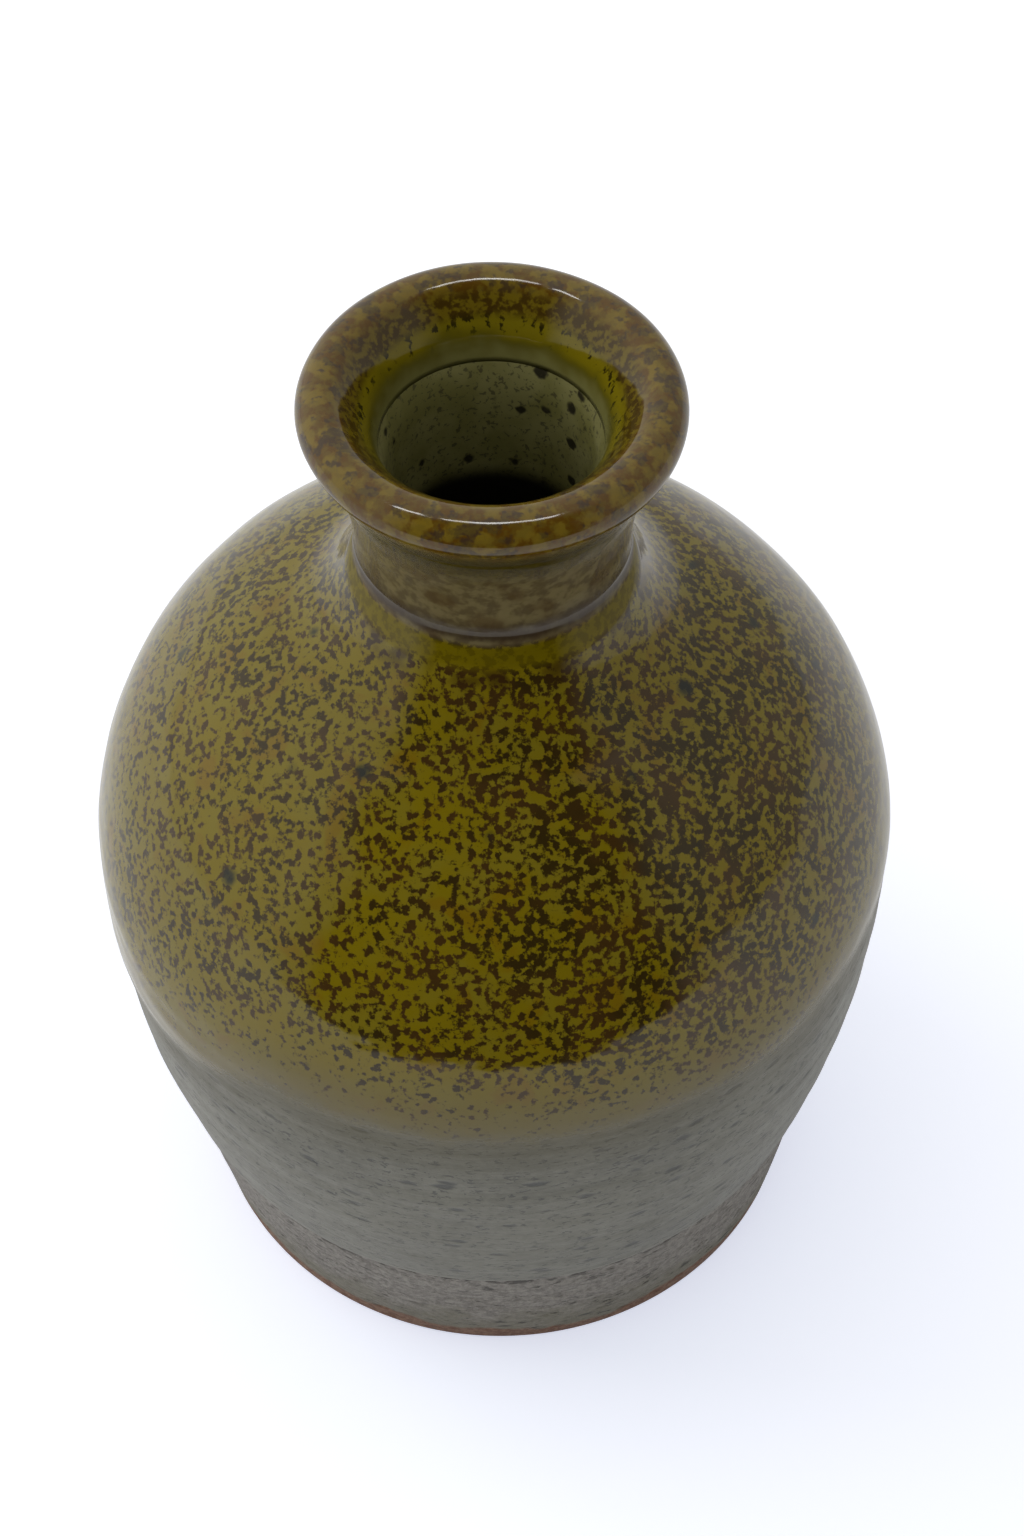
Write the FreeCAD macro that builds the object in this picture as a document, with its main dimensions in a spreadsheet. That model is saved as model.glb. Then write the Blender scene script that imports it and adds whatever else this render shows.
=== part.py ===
import FreeCAD, Part
import math
import os

import Sketcher
from FreeCAD import Vector

# A wheel-thrown stoneware bud vase: one turned clay body and three coats of glaze.
# Millimetres, +Z up, the origin on the axis in the plane that the foot stands on.
# Every face is a face of revolution, so each piece is one sketch in the XZ plane,
# drawn from the curve of the clay and the same curve set off by the coats over it.

SIZES = [
    ("belly_radius", 49.1, "bare clay at its widest"),
    ("belly_height", 63.3, "height of the widest place"),
    ("lower_arc", 159.0, "radius of the wall's curve below the belly"),
    ("shoulder_centre", 6.4, "how far off the axis the shoulder's curve is centred"),
    ("wall", 4.5, "clay wall of the belly and shoulder"),
    ("foot_radius", 40.3, "outside of the foot ring, where it stands"),
    ("foot_width", 6.0, "width of the foot ring"),
    ("foot_recess", 3.0, "depth turned out under the floor"),
    ("foot_edge", 0.8, "rounding of the foot ring's two edges"),
    ("ridge_height", 22.3, "top of the turned foot band, where the first glaze ends"),
    ("floor_thickness", 6.0, "clay floor above the recess"),
    ("floor_round", 14.0, "inside corner between floor and wall"),
    ("neck_radius", 14.8, "bare clay at the waist of the neck"),
    ("neck_rise", 54.7, "from the belly's widest place up to the waist"),
    ("bore_radius", 12.0, "bare clay of the straight bore in the neck"),
    ("roof_round", 10.0, "rounding from the bore into the chamber's roof"),
    ("flare_arc", 16.0, "radius of the throat's flare"),
    ("lip_middle", 18.4, "radius of the circle that the lip's roll is centred on"),
    ("lip_rise", 18.8, "from the waist up to that circle"),
    ("lip_half", 2.0, "half the thickness of the bare lip"),
    ("first_coat", 0.4, "thickness of the grey-green glaze, inside and outside"),
    ("over_coat", 0.5, "thickness of the speckled olive glaze over it"),
    ("dip_rise", 2.7, "from the belly's widest place up to the olive glaze's lower edge"),
    ("throat_drop", 5.8, "from the lip's circle down to the olive glaze's edge in the throat"),
]
size = {name: value for name, value, note in SIZES}


def total(*names):
    """A sum of sizes: the text that a sketch is bound to and the number that it starts from."""
    return " + ".join("sizes." + name for name in names), sum(size[name] for name in names)


BARE = ("0", 0.0)
FIRST = total("first_coat")
BOTH = total("first_coat", "over_coat")
DIP = total("belly_height", "dip_rise")
WAIST = total("belly_height", "neck_rise")
LIP = total("belly_height", "neck_rise", "lip_rise")
THROAT_LINE = (LIP[0] + " - sizes.throat_drop", LIP[1] - size["throat_drop"])

START, END, CENTRE = 1, 2, 3
ORIGIN = (-1, 1)
FLAT_AXIS, UPRIGHT_AXIS = -1, -2

doc = FreeCAD.newDocument("bud_vase")
sheet = doc.addObject("Spreadsheet::Sheet", "sizes")
for row, (name, value, note) in enumerate(SIZES, start=1):
    sheet.set("A%d" % row, name)
    sheet.set("B%d" % row, str(value))
    sheet.set("C%d" % row, note)
    sheet.setAlias("B%d" % row, name)
doc.recompute()


def towards(near, far, reach):
    """The point that lies `reach` from near, on the line through far."""
    step = (far - near).normalize()
    return near + step * reach


def on_circle(centre, radius, height):
    """The point of a circle at a height, on its side away from the axis."""
    rise = height - centre.y
    return Vector(centre.x + math.sqrt(radius ** 2 - rise ** 2), height, 0)


class Chain:
    """Arcs and lines drawn end to end in a sketch, each held by constraints."""

    def __init__(self, sketch):
        self.sketch = sketch
        self.pieces = []

    def rule(self, kind, *points):
        flat = [number for point in points for number in point]
        self.sketch.addConstraint(Sketcher.Constraint(kind, *flat))

    def bind(self, kind, point, formula):
        """Ties a radius, or a point's place from the origin, to the sheet."""
        geometry, position = point
        if kind == "Radius":
            place = (geometry,)
            now = self.sketch.Geometry[geometry].Radius
        else:
            place = (*ORIGIN, geometry, position)
            here = self.sketch.getPoint(geometry, position)
            now = here.x if kind == "DistanceX" else here.y
        index = self.sketch.addConstraint(Sketcher.Constraint(kind, *place, now))
        self.sketch.setExpression("Constraints[%d]" % index, formula)

    def add(self, shape, begin, finish, join):
        number = self.sketch.addGeometry(shape, False)
        piece = {"centre": (number, CENTRE), "begin": (number, begin), "finish": (number, finish)}
        if self.pieces and join:
            self.rule(join, self.pieces[-1]["finish"], piece["begin"])
        self.pieces.append(piece)
        return piece

    def arc(self, centre, begin, finish, anticlockwise, join="Coincident"):
        circle = Part.Circle(centre, Vector(0, 0, 1), begin.distanceToPoint(centre))
        low, high = (begin, finish) if anticlockwise else (finish, begin)
        first = math.atan2(low.y - centre.y, low.x - centre.x)
        last = math.atan2(high.y - centre.y, high.x - centre.x)
        if last < first:
            last += 2 * math.pi
        ends = (START, END) if anticlockwise else (END, START)
        return self.add(Part.ArcOfCircle(circle, first, last), *ends, join)

    def line(self, begin, finish, join="Coincident"):
        return self.add(Part.LineSegment(begin, finish), START, END, join)

    def here(self):
        return self.sketch.getPoint(*self.pieces[-1]["finish"])

    def close(self, last, first):
        """A straight edge between the ends of two chains in the same sketch."""
        begin, finish = self.sketch.getPoint(*last), self.sketch.getPoint(*first)
        edge = self.line(begin, finish, join=None)
        self.rule("Coincident", last, edge["begin"])
        self.rule("Coincident", edge["finish"], first)


def outside(chain, coat, from_ridge):
    """The outer curve, from the ridge or the dip line up to the top of the lip."""
    text, thick = coat
    belly_height = size["belly_height"]
    shoulder_radius = size["belly_radius"] - size["shoulder_centre"]
    shoulder_centre = Vector(size["shoulder_centre"], belly_height, 0)

    if from_ridge:
        # The wall below the belly, centred on the belly's height.
        centre = Vector(size["belly_radius"] - size["lower_arc"], belly_height, 0)
        ridge = on_circle(centre, size["lower_arc"] + thick, size["ridge_height"])
        belly = Vector(size["belly_radius"] + thick, belly_height, 0)
        lower = chain.arc(centre, ridge, belly, True)
        chain.bind("Radius", lower["begin"], "sizes.lower_arc + " + text)
        chain.bind("DistanceY", lower["centre"], "sizes.belly_height")
        chain.bind("DistanceY", lower["begin"], "sizes.ridge_height")
        chain.bind("DistanceY", lower["finish"], "sizes.belly_height")
        shoulder_start = belly
    else:
        shoulder_start = on_circle(shoulder_centre, shoulder_radius + thick, DIP[1])

    # The shoulder, and the hollow curve that runs from it up to the waist of the neck.
    waist = Vector(size["neck_radius"] + thick, WAIST[1], 0)
    inset = size["neck_radius"] - size["shoulder_centre"]
    rise = WAIST[1] - belly_height
    hollow = (inset ** 2 + rise ** 2 - shoulder_radius ** 2) / (2 * (shoulder_radius - inset))
    hollow_centre = Vector(size["neck_radius"] + hollow, WAIST[1], 0)
    meeting = towards(shoulder_centre, hollow_centre, shoulder_radius + thick)

    shoulder = chain.arc(shoulder_centre, shoulder_start, meeting, True)
    chain.bind("DistanceX", shoulder["centre"], "sizes.shoulder_centre")
    chain.bind("DistanceY", shoulder["centre"], "sizes.belly_height")
    chain.bind("Radius", shoulder["begin"], "sizes.belly_radius - sizes.shoulder_centre + " + text)
    if not from_ridge:
        chain.bind("DistanceY", shoulder["begin"], DIP[0])

    below_waist = chain.arc(hollow_centre, meeting, waist, False, "Tangent")
    chain.rule("Horizontal", below_waist["centre"], below_waist["finish"])
    chain.bind("DistanceX", below_waist["finish"], "sizes.neck_radius + " + text)
    chain.bind("DistanceY", below_waist["finish"], WAIST[0])

    # The neck above its waist, which runs into the rolled lip.
    reach = size["lip_middle"] - size["neck_radius"]
    rise = LIP[1] - WAIST[1]
    flare = (reach ** 2 + rise ** 2 - size["lip_half"] ** 2) / (2 * (reach + size["lip_half"]))
    flare_centre = Vector(size["neck_radius"] + flare, WAIST[1], 0)
    lip_centre = Vector(size["lip_middle"], LIP[1], 0)
    lip_radius = size["lip_half"] + thick
    under_lip = towards(lip_centre, flare_centre, lip_radius)
    lip_top = lip_centre + Vector(0, lip_radius, 0)

    above_waist = chain.arc(flare_centre, waist, under_lip, False)
    chain.rule("Horizontal", above_waist["centre"], above_waist["begin"])
    lip = chain.arc(lip_centre, under_lip, lip_top, True, "Tangent")
    hold_lip(chain, lip, lip["finish"], text)
    return lip


def hold_lip(chain, lip, top, text):
    """Ties one half of the lip's roll to the sheet, with its end straight above its centre."""
    chain.bind("DistanceX", lip["centre"], "sizes.lip_middle")
    chain.bind("DistanceY", lip["centre"], LIP[0])
    chain.bind("Radius", lip["begin"], "sizes.lip_half + " + text)
    chain.rule("Vertical", lip["centre"], top)


def throat(chain, coat, outer_lip, to_bore):
    """The inner half of the lip and the flare, down to the bore or to the glaze line."""
    text, thick = coat
    lip_centre = Vector(size["lip_middle"], LIP[1], 0)
    lip_top = lip_centre + Vector(0, size["lip_half"] + thick, 0)
    flare = size["flare_arc"]
    across = size["bore_radius"] + flare - size["lip_middle"]
    drop = math.sqrt((flare - size["lip_half"]) ** 2 - across ** 2)
    flare_centre = Vector(size["bore_radius"] + flare, LIP[1] - drop, 0)
    in_lip = towards(flare_centre, lip_centre, flare + thick)
    if to_bore:
        last = flare_centre - Vector(flare + thick, 0, 0)
    else:
        rise = THROAT_LINE[1] - flare_centre.y
        across = math.sqrt((flare + thick) ** 2 - rise ** 2)
        last = Vector(flare_centre.x - across, THROAT_LINE[1], 0)

    lip = chain.arc(lip_centre, lip_top, in_lip, True)
    if outer_lip:
        chain.rule("Coincident", lip["centre"], outer_lip["centre"])
    else:
        hold_lip(chain, lip, lip["begin"], text)
    throat_arc = chain.arc(flare_centre, in_lip, last, True, "Tangent")
    chain.bind("Radius", throat_arc["begin"], "sizes.flare_arc + " + text)
    chain.bind("DistanceX", throat_arc["centre"], "sizes.bore_radius + sizes.flare_arc")
    if to_bore:
        chain.rule("Horizontal", throat_arc["centre"], throat_arc["finish"])
    else:
        chain.bind("DistanceY", throat_arc["finish"], THROAT_LINE[0])
    return throat_arc


def chamber(chain, coat):
    """The bore, the roof, the wall and the floor of the water chamber, down to the axis."""
    text, thick = coat
    wall_radius = size["belly_radius"] - size["shoulder_centre"] - size["wall"]
    roof_centre = Vector(size["shoulder_centre"], size["belly_height"], 0)
    round_x = size["bore_radius"] + size["roof_round"]
    reach = wall_radius + size["roof_round"]
    rise = math.sqrt(reach ** 2 - (round_x - roof_centre.x) ** 2)
    round_centre = Vector(round_x, roof_centre.y + rise, 0)
    bore_end = round_centre - Vector(size["roof_round"] + thick, 0, 0)
    roof_start = towards(roof_centre, round_centre, wall_radius - thick)
    belly = roof_centre + Vector(wall_radius - thick, 0, 0)

    bore = chain.line(chain.here(), bore_end)
    chain.rule("Vertical", bore["begin"], bore["finish"])
    corner = chain.arc(round_centre, bore_end, roof_start, True)
    chain.rule("Horizontal", corner["centre"], corner["begin"])
    chain.bind("Radius", corner["begin"], "sizes.roof_round + " + text)
    roof = chain.arc(roof_centre, roof_start, belly, False, "Tangent")
    chain.bind("DistanceX", roof["centre"], "sizes.shoulder_centre")
    chain.bind("DistanceY", roof["centre"], "sizes.belly_height")
    chain.bind("Radius", roof["begin"],
               "sizes.belly_radius - sizes.shoulder_centre - sizes.wall - (" + text + ")")
    chain.bind("DistanceY", roof["finish"], "sizes.belly_height")

    # The wall below the belly, the rounded corner and the flat of the floor.
    lower = size["lower_arc"] - size["wall"]
    lower_centre = Vector(size["belly_radius"] - size["lower_arc"], size["belly_height"], 0)
    floor = size["foot_recess"] + size["floor_thickness"]
    corner_y = floor + size["floor_round"]
    across = math.sqrt((lower - size["floor_round"]) ** 2 - (lower_centre.y - corner_y) ** 2)
    corner_centre = Vector(lower_centre.x + across, corner_y, 0)
    wall_end = towards(lower_centre, corner_centre, lower - thick)
    floor_edge = Vector(corner_centre.x, floor + thick, 0)
    floor_middle = Vector(0, floor + thick, 0)

    wall = chain.arc(lower_centre, belly, wall_end, False)
    chain.rule("Horizontal", wall["centre"], wall["begin"])
    chain.bind("Radius", wall["begin"], "sizes.lower_arc - sizes.wall - (" + text + ")")
    corner = chain.arc(corner_centre, wall_end, floor_edge, False, "Tangent")
    chain.bind("Radius", corner["begin"], "sizes.floor_round - (" + text + ")")
    chain.bind("DistanceY", corner["finish"],
               "sizes.foot_recess + sizes.floor_thickness + " + text)
    chain.rule("Vertical", corner["centre"], corner["finish"])
    flat = chain.line(floor_edge, floor_middle)
    chain.rule("Horizontal", flat["begin"], flat["finish"])
    chain.rule("PointOnObject", flat["finish"], (UPRIGHT_AXIS,))
    return flat


def foot(chain, ridge):
    """The floor's underside, the foot ring and the turned band up to the ridge."""
    inner = size["foot_radius"] - size["foot_width"]
    recess_middle = Vector(0, size["foot_recess"], 0)
    recess_edge = Vector(inner, size["foot_recess"], 0)
    ring_inside, ring_outside = Vector(inner, 0, 0), Vector(size["foot_radius"], 0, 0)

    middle = chain.line(chain.here(), recess_middle)
    chain.rule("PointOnObject", middle["finish"], (UPRIGHT_AXIS,))
    chain.bind("DistanceY", middle["finish"], "sizes.foot_recess")
    under = chain.line(recess_middle, recess_edge)
    chain.rule("Horizontal", under["begin"], under["finish"])
    chain.bind("DistanceX", under["finish"], "sizes.foot_radius - sizes.foot_width")
    step = chain.line(recess_edge, ring_inside)
    chain.rule("Vertical", step["begin"], step["finish"])
    chain.rule("PointOnObject", step["finish"], (FLAT_AXIS,))
    ring = chain.line(ring_inside, ring_outside)
    chain.rule("PointOnObject", ring["finish"], (FLAT_AXIS,))
    chain.bind("DistanceX", ring["finish"], "sizes.foot_radius")
    chain.close(ring["finish"], ridge)


def new_body(label):
    """An empty body, and a sketch on its own XZ plane."""
    body = doc.addObject("PartDesign::Body", label)
    body.Label = label
    body.Placement = FreeCAD.Placement()
    sketch = body.newObject("Sketcher::SketchObject", label + "_outline")
    plane = next(part for part in body.Origin.OriginFeatures if part.Role == "XZ_Plane")
    sketch.AttachmentSupport = [(plane, "")]
    sketch.MapMode = "FlatFace"
    return body, sketch


def spin(body, sketch):
    """One full turn of the sketch about the upright axis."""
    turned = body.newObject("PartDesign::Revolution", body.Name + "_turned")
    turned.Profile = sketch
    turned.ReferenceAxis = (sketch, ["V_Axis"])
    turned.Angle = 360
    sketch.Visibility = False
    doc.recompute()
    return turned


def make_clay():
    """The thrown and turned stoneware: foot ring, floor, wall, shoulder, neck and lip."""
    body, sketch = new_body("stoneware_body")
    chain = Chain(sketch)
    outer_lip = outside(chain, BARE, from_ridge=True)
    ridge = chain.pieces[0]["begin"]
    throat(chain, BARE, outer_lip, to_bore=True)
    chamber(chain, BARE)
    foot(chain, ridge)
    turned = spin(body, sketch)

    edges = []
    for number, edge in enumerate(turned.Shape.Edges, start=1):
        if edge.BoundBox.ZMax < 1e-6 and isinstance(edge.Curve, Part.Circle):
            edges.append("Edge%d" % number)
    softened = body.newObject("PartDesign::Fillet", "foot_edges")
    softened.Base = (turned, edges)
    softened.setExpression("Radius", "sizes.foot_edge")
    return body


def make_liner():
    """The first glaze, poured inside: from the middle of the lip down over the floor."""
    body, sketch = new_body("liner_glaze")
    ends = []
    for coat in (BARE, FIRST):
        chain = Chain(sketch)
        throat(chain, coat, None, to_bore=True)
        floor = chamber(chain, coat)
        ends.append((chain.pieces[0]["begin"], floor["finish"]))
    chain.close(ends[0][0], ends[1][0])
    chain.close(ends[0][1], ends[1][1])
    spin(body, sketch)
    return body


def make_base():
    """The first glaze, dipped outside: from the ridge above the foot to the lip."""
    body, sketch = new_body("base_glaze")
    ends = []
    for coat in (BARE, FIRST):
        chain = Chain(sketch)
        lip = outside(chain, coat, from_ridge=True)
        ends.append((chain.pieces[0]["begin"], lip["finish"]))
    chain.close(ends[0][0], ends[1][0])
    chain.close(ends[0][1], ends[1][1])
    spin(body, sketch)
    return body


def make_over():
    """The second glaze: it laps the first two, from the belly over the lip into the throat."""
    body, sketch = new_body("over_glaze")
    ends = []
    for coat in (FIRST, BOTH):
        chain = Chain(sketch)
        outer_lip = outside(chain, coat, from_ridge=False)
        flare = throat(chain, coat, outer_lip, to_bore=False)
        ends.append((chain.pieces[0]["begin"], flare["finish"]))
    chain.close(ends[0][0], ends[1][0])
    chain.close(ends[0][1], ends[1][1])
    spin(body, sketch)
    return body


pieces = [make_clay(), make_liner(), make_base(), make_over()]
doc.recompute()

for thing in doc.Objects:
    bad = [word for word in thing.State if word in ("Invalid", "Error")]
    if bad:
        raise RuntimeError("%s is %s" % (thing.Name, bad))
for piece in pieces:
    if piece.Shape.isNull() or not piece.Shape.isValid() or len(piece.Shape.Solids) != 1:
        raise RuntimeError("%s has no single valid solid" % piece.Label)

os.makedirs("parts", exist_ok=True)
for piece in pieces:
    piece.Shape.exportStep("parts/%s.step" % piece.Label)
    box = piece.Shape.optimalBoundingBox()
    print("%-15s volume %8.0f mm3, z %.2f to %.2f, radius %.2f"
          % (piece.Label, piece.Shape.Volume, box.ZMin, box.ZMax, box.XMax))
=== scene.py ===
import math

import bmesh
import bpy
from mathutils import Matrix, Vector


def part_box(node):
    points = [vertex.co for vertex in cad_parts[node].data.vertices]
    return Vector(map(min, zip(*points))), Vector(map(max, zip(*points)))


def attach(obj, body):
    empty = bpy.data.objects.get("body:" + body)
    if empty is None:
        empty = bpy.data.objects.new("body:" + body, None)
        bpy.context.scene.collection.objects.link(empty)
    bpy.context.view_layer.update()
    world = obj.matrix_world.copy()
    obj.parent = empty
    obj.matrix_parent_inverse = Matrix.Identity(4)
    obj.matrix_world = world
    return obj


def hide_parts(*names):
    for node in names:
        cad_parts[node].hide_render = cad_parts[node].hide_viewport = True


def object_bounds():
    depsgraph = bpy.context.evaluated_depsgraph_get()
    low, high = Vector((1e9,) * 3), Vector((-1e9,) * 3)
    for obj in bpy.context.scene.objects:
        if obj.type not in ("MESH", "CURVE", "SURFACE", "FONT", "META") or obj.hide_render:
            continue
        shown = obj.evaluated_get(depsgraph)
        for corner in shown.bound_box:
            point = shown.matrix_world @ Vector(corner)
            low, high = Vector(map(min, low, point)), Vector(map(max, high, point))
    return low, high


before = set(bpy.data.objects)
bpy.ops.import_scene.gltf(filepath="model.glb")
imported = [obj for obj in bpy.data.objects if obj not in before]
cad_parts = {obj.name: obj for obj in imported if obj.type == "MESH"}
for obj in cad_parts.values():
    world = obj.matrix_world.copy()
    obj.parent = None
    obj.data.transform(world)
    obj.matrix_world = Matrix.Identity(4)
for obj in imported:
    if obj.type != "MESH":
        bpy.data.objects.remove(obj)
cad_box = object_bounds()
print("CAD nodes", sorted(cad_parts))
print("CAD box", [round(x, 4) for corner in cad_box for x in corner])

# %% [markdown]
# # A speckled bud vase
#
# The real vase is thrown on a wheel in stoneware, turned at the foot, and glazed twice. A
# satin grey-green glaze is poured inside and dipped outside down to the turned foot band.
# Then the upper half is dipped again, upside down, in a glossy olive glaze that is full of
# iron specks. So the object is one clay body and three coats, each a separate piece here.
#
# Every piece is a body of revolution, so one curve drives them all: the section of the bare
# clay. Each coat is that curve set off by its thickness. The curve is written below from a
# few named sizes, in metres, with the same arcs as the CAD model has.

# %% The sizes that drive the curve
MM = 0.001
WALL = 4.5 * MM
FIRST_COAT = 0.4 * MM
OVER_COAT = 0.5 * MM
BELLY_RADIUS = cad_box[1].x - FIRST_COAT - OVER_COAT
BELLY_HEIGHT = 63.3 * MM
SHOULDER = (6.4 * MM, BELLY_HEIGHT)
LOWER_ARC = 159.0 * MM
RIDGE_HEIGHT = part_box("base_glaze")[0].z
FOOT_RADIUS = 40.3 * MM
FOOT_WIDTH = 6.0 * MM
FOOT_RECESS = 3.0 * MM
FOOT_EDGE = 0.8 * MM
FLOOR_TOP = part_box("liner_glaze")[0].z
FLOOR_ROUND = 14.0 * MM
NECK_RADIUS = 14.8 * MM
WAIST_HEIGHT = BELLY_HEIGHT + 54.7 * MM
BORE_RADIUS = 12.0 * MM
ROOF_ROUND = 10.0 * MM
FLARE_ARC = 16.0 * MM
LIP_HALF = 2.0 * MM
LIP = (18.4 * MM, cad_box[1].z - LIP_HALF - FIRST_COAT - OVER_COAT)
DIP_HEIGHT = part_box("over_glaze")[0].z
print("belly radius %.2f mm, lip height %.2f mm" % (BELLY_RADIUS / MM, LIP[1] / MM))

# %% [markdown]
# The curve is a chain of arcs and straight runs. Each point also keeps the way out of the
# clay there, because the coats and the small unevenness of a hand-made pot are both set off
# along it. On a convex stretch that way points away from the arc's centre, and on a hollow
# stretch towards it, which is what `side` says.

# %% Arcs and runs
def arc(centre, radius, start, end, step, side=1):
    """Points (radius, height, way out) along an arc, about `step` apart. Angles in radians."""
    count = max(2, math.ceil(abs(end - start) * radius / step))
    points = []
    for i in range(count + 1):
        angle = start + (end - start) * i / count
        across, up = math.cos(angle), math.sin(angle)
        points.append((centre[0] + radius * across, centre[1] + radius * up, side * across, side * up))
    return points


def run(begin, end, out, step):
    """Points along a straight stretch whose way out is the same all along."""
    count = max(1, math.ceil(math.dist(begin, end) / step))
    mix = [i / count for i in range(count + 1)]
    return [(begin[0] + (end[0] - begin[0]) * t, begin[1] + (end[1] - begin[1]) * t, *out) for t in mix]


def angle_to(begin, end):
    """The direction from one centre to another."""
    return math.atan2(end[1] - begin[1], end[0] - begin[0])


def chained(*stretches):
    """One path from stretches that begin where the one before ends."""
    path = list(stretches[0])
    for stretch in stretches[1:]:
        path += stretch[1:]
    return path


# %% The outside of the clay, from the lip down to the middle of the underside
SEEN = 0.7 * MM
HIDDEN = 2.5 * MM
RIGHT, LEFT, DOWN = 0.0, math.pi, -math.pi / 2

shoulder_radius = BELLY_RADIUS - SHOULDER[0]
inset = NECK_RADIUS - SHOULDER[0]
rise = WAIST_HEIGHT - BELLY_HEIGHT
hollow_radius = (inset ** 2 + rise ** 2 - shoulder_radius ** 2) / (2 * (shoulder_radius - inset))
hollow = (NECK_RADIUS + hollow_radius, WAIST_HEIGHT)
reach = LIP[0] - NECK_RADIUS
rise = LIP[1] - WAIST_HEIGHT
neck_radius = (reach ** 2 + rise ** 2 - LIP_HALF ** 2) / (2 * (reach + LIP_HALF))
neck = (NECK_RADIUS + neck_radius, WAIST_HEIGHT)
lower = (BELLY_RADIUS - LOWER_ARC, BELLY_HEIGHT)

under_lip = angle_to(LIP, neck)
shoulder_top = angle_to(SHOULDER, hollow)
ridge_angle = math.asin((RIDGE_HEIGHT - BELLY_HEIGHT) / LOWER_ARC)
ridge = (lower[0] + LOWER_ARC * math.cos(ridge_angle), RIDGE_HEIGHT)
band_length = math.dist(ridge, (FOOT_RADIUS, 0))
band_out = (RIDGE_HEIGHT / band_length, (FOOT_RADIUS - ridge[0]) / band_length)
band_angle = math.atan2(band_out[1], band_out[0])
edge_x = FOOT_RADIUS - FOOT_EDGE * (1 + band_out[1]) / band_out[0]
outer_edge = (edge_x, FOOT_EDGE)
inner_edge = (FOOT_RADIUS - FOOT_WIDTH + FOOT_EDGE, FOOT_EDGE)
band_end = (edge_x + FOOT_EDGE * band_out[0], FOOT_EDGE * (1 + band_out[1]))
corner = (FOOT_RADIUS - FOOT_WIDTH - FOOT_EDGE, FOOT_RECESS - FOOT_EDGE)

upper = chained(
    arc(LIP, LIP_HALF, math.pi / 2, under_lip, SEEN / 3),
    arc(neck, neck_radius, under_lip + math.pi, LEFT, SEEN, side=-1),
    arc(hollow, hollow_radius, LEFT, shoulder_top + math.pi, SEEN, side=-1),
    arc(SHOULDER, shoulder_radius, shoulder_top, RIGHT, SEEN),
    arc(lower, LOWER_ARC, RIGHT, ridge_angle, SEEN),
)
under = chained(
    run(ridge, band_end, band_out, SEEN / 2),
    arc(outer_edge, FOOT_EDGE, band_angle, DOWN, SEEN / 3),
    run((edge_x, 0), (inner_edge[0], 0), (0, -1), SEEN),
    arc(inner_edge, FOOT_EDGE, DOWN, -LEFT, SEEN / 3),
    run((FOOT_RADIUS - FOOT_WIDTH, FOOT_EDGE), (FOOT_RADIUS - FOOT_WIDTH, corner[1]), (-1, 0), SEEN),
    arc(corner, FOOT_EDGE, RIGHT, -DOWN, SEEN / 3, side=-1),
    run((corner[0], FOOT_RECESS), (0, FOOT_RECESS), (0, -1), SEEN),
)
print("outside", len(upper), "points to the ridge, then", len(under), "to the middle of the underside")

# %% The inside of the clay, from the lip down to the middle of the floor
flare_x = BORE_RADIUS + FLARE_ARC
flare = (flare_x, LIP[1] - math.sqrt((FLARE_ARC - LIP_HALF) ** 2 - (flare_x - LIP[0]) ** 2))
roof_radius = shoulder_radius - WALL
roof_x = BORE_RADIUS + ROOF_ROUND
roof_rise = math.sqrt((roof_radius + ROOF_ROUND) ** 2 - (roof_x - SHOULDER[0]) ** 2)
roof_round = (roof_x, BELLY_HEIGHT + roof_rise)
inner_lower = LOWER_ARC - WALL
corner_y = FLOOR_TOP + FLOOR_ROUND
corner_rise = math.sqrt((inner_lower - FLOOR_ROUND) ** 2 - (BELLY_HEIGHT - corner_y) ** 2)
floor_corner = (lower[0] + corner_rise, corner_y)
wall_end = angle_to(lower, floor_corner)

inside = chained(
    arc(LIP, LIP_HALF, math.pi / 2, angle_to(flare, LIP), SEEN / 3),
    arc(flare, FLARE_ARC, angle_to(flare, LIP), LEFT, SEEN),
    run((BORE_RADIUS, flare[1]), (BORE_RADIUS, roof_round[1]), (-1, 0), SEEN),
    arc(roof_round, ROOF_ROUND, LEFT, LEFT * 2 + angle_to(roof_round, SHOULDER), SEEN),
    arc(SHOULDER, roof_radius, angle_to(SHOULDER, roof_round), RIGHT, HIDDEN, side=-1),
    arc(lower, inner_lower, RIGHT, wall_end, HIDDEN, side=-1),
    arc(floor_corner, FLOOR_ROUND, wall_end, DOWN, HIDDEN, side=-1),
    run((floor_corner[0], FLOOR_TOP), (0, FLOOR_TOP), (0, 1), HIDDEN),
)
print("inside", len(inside), "points")

# %% [markdown]
# Finishes change along the curve: lip, neck, the pool of glaze at its foot, belly, throat.
# So each point keeps `along`, its distance from the top of the lip measured on the clay,
# positive going in and negative going down the outside. The materials read it later.

# %% Distance along the curve
def with_distance(path, sign):
    """Adds to each point its distance from the path's start."""
    travelled = 0.0
    measured = [(*path[0], travelled)]
    for before, point in zip(path, path[1:]):
        travelled += math.dist(before[:2], point[:2])
        measured.append((*point, sign * travelled))
    return measured


outside = with_distance(chained(upper, under), -1)
inside = with_distance(inside, 1)
ridge_index = len(upper) - 1
ridge_along = outside[ridge_index][4]
print("lip to ridge %.1f mm, lip to floor %.1f mm" % (-ridge_along / MM, inside[-1][4] / MM))

# %% [markdown]
# An outline is a small mesh of loose points: the section of one piece, with what the lathe
# has to know stored as attributes. `clay` is the point of the bare clay below, `out` the way
# out of it, and `coat` a thickness that the lathe adds itself where the second glaze lies.
# Nested pieces share `clay` and `out`, so the unevenness added later moves them together and
# they never cut through each other.

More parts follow.
